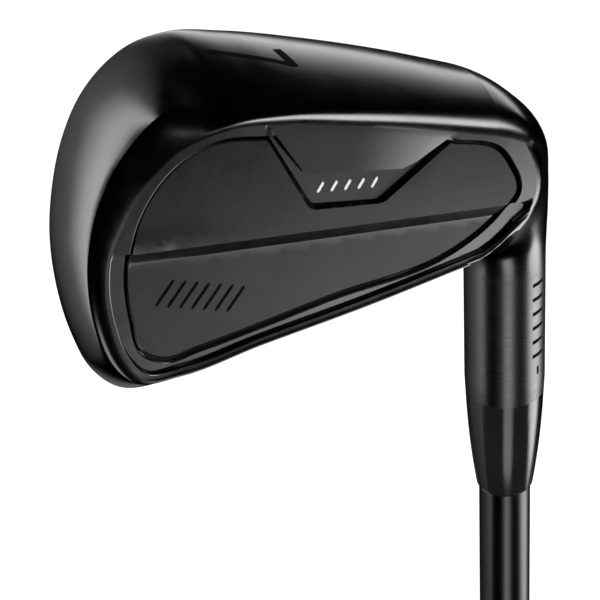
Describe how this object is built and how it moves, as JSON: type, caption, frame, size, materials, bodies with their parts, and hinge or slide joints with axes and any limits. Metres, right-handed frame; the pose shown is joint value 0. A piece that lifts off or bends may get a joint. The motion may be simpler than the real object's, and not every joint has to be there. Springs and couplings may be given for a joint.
{
  "type": "iron golf club",
  "caption": "Blacked-out hollow-body mid iron for a right-handed golfer, with a forged face insert, back plate, stepped steel shaft and rubber grip.",
  "frame": {"origin": "centre of the grip cap's flat outer face, on the shaft axis", "axes": "+Z along the shaft from the butt to the head; +Y towards the target, which the club face looks at; the head's toe is on the -X side"},
  "size_m": [0.1046, 0.0456, 0.9667],
  "materials": {
    "head_black": "gloss",
    "face_black": "satin",
    "tungsten": "matte",
    "elastomer": "matte",
    "plug_steel": "satin",
    "plate_black": "satin",
    "adhesive": "matte",
    "inlay_black": "gloss",
    "mark_silver": "satin",
    "paint_black": "matte",
    "shaft_black": "satin",
    "epoxy": "gloss",
    "tip_brass": "satin",
    "ferrule_black": "gloss",
    "band_film": "gloss",
    "grip_rubber": "matte",
    "ring_paint": "matte",
    "tape_paper": "matte",
    "cap_rubber": "matte"
  },
  "bodies": {
    "root": {"head_body": "head_black", "face_insert": "face_black", "toe_weight": "tungsten", "heel_weight": "tungsten", "core_damper": "elastomer", "core_plug": "plug_steel", "muscle_plate": "plate_black", "plate_adhesive": "adhesive", "chevron_inlay": "inlay_black", "inlay_marks": "mark_silver", "plate_marks_paint": "paint_black", "sole_number_paint": "paint_black", "hosel_marks_paint": "paint_black", "shaft": "shaft_black", "hosel_epoxy": "epoxy", "tip_plug": "tip_brass", "ferrule": "ferrule_black", "shaft_band": "band_film", "grip": "grip_rubber", "grip_paint_rings": "ring_paint", "grip_tape": "tape_paper", "grip_cap": "cap_rubber"}
  },
  "joints": []
}
